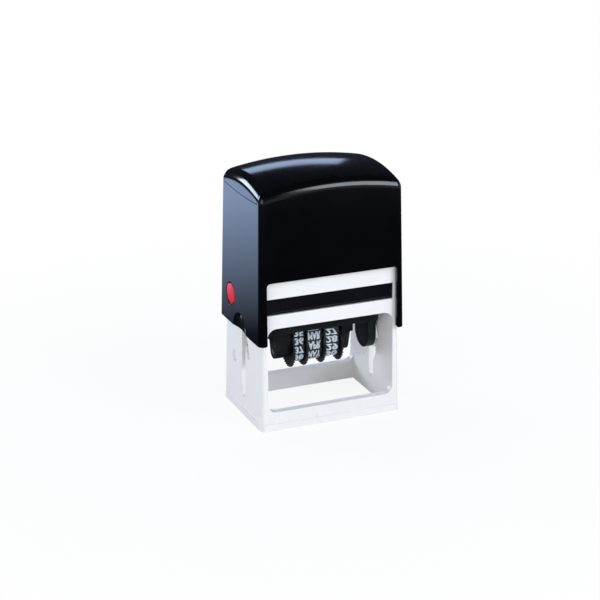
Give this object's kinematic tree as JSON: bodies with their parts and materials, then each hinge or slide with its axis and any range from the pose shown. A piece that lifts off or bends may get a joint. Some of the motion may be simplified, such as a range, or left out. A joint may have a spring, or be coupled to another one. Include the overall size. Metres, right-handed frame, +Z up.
{
  "type": "self-inking date stamp",
  "caption": "Self-inking office date stamp: a black handle slides down over a white windowed base and turns a date platen over from its ink pad to the paper.",
  "frame": {"origin": "centre of the foot's resting face, on the surface that the stamp stands on", "axes": "+Z up, along the handle's travel; -Y towards the front, where the ink pad cartridge slides out; +X to the right seen from the front"},
  "size_m": [0.0814, 0.0572, 0.134],
  "materials": {
    "white_plastic": "glossy moulded",
    "black_plastic": "polished moulded",
    "red_plastic": "glossy moulded",
    "mechanism_plastic": "satin moulded",
    "spring_steel": "drawn wire",
    "pin_steel": "turned",
    "felt": "ink-soaked felt",
    "die_rubber": "moulded rubber",
    "band_rubber": "moulded rubber"
  },
  "bodies": {
    "base": {"base_frame": "white_plastic", "return_spring": "spring_steel"},
    "handle": {"handle_shell": "black_plastic", "top_cover": "black_plastic"},
    "left_button": {"lock_button_left": "red_plastic"},
    "right_button": {"lock_button_right": "red_plastic"},
    "cartridge": {"pad_cartridge": "black_plastic", "ink_pad": "felt"},
    "platen": {"platen_frame": "mechanism_plastic", "pivot_pin_left": "pin_steel", "pivot_pin_right": "pin_steel", "text_carrier": "mechanism_plastic", "text_rubber": "die_rubber", "band_frame": "mechanism_plastic", "print_bridge": "mechanism_plastic", "band_axle": "pin_steel", "end_disc": "mechanism_plastic", "band_year": "band_rubber", "band_month": "band_rubber", "band_day": "band_rubber"},
    "year_wheel": {"wheel_year": "mechanism_plastic"},
    "month_wheel": {"wheel_month": "mechanism_plastic"},
    "day_wheel": {"wheel_day": "mechanism_plastic"}
  },
  "joints": [
    {"name": "handle_press", "type": "slide", "parent": "base", "child": "handle", "axis": [0, 0, 1], "range_m": [-0.0418, 0], "stiffness_N_per_m": 350, "springref_m": 0.02, "deforming": ["return_spring"]},
    {"name": "platen_flip", "type": "hinge", "parent": "handle", "child": "platen", "pos_m": [0, 0, 0.054], "axis": [-1, 0, 0], "range_deg": [0, 180]},
    {"name": "year_wheel_turn", "type": "hinge", "parent": "platen", "child": "year_wheel", "pos_m": [-0.01, 0, 0.0325], "axis": [1, 0, 0], "continuous": true},
    {"name": "month_wheel_turn", "type": "hinge", "parent": "platen", "child": "month_wheel", "pos_m": [-0.0012, 0, 0.0325], "axis": [1, 0, 0], "continuous": true},
    {"name": "day_wheel_turn", "type": "hinge", "parent": "platen", "child": "day_wheel", "pos_m": [0.0087, 0, 0.0325], "axis": [1, 0, 0], "continuous": true},
    {"name": "left_button_push", "type": "slide", "parent": "handle", "child": "left_button", "axis": [1, 0, 0], "range_m": [0, 0.0013], "stiffness_N_per_m": 800, "springref_m": -0.001},
    {"name": "right_button_push", "type": "slide", "parent": "handle", "child": "right_button", "axis": [-1, 0, 0], "range_m": [0, 0.0013], "stiffness_N_per_m": 800, "springref_m": -0.001},
    {"name": "cartridge_slide", "type": "slide", "parent": "base", "child": "cartridge", "axis": [0, -1, 0], "range_m": [0, 0.04]}
  ],
  "couplings": [
    {"joint": "platen_flip", "follows": "handle_press", "rad_per_m": -75.158}
  ]
}
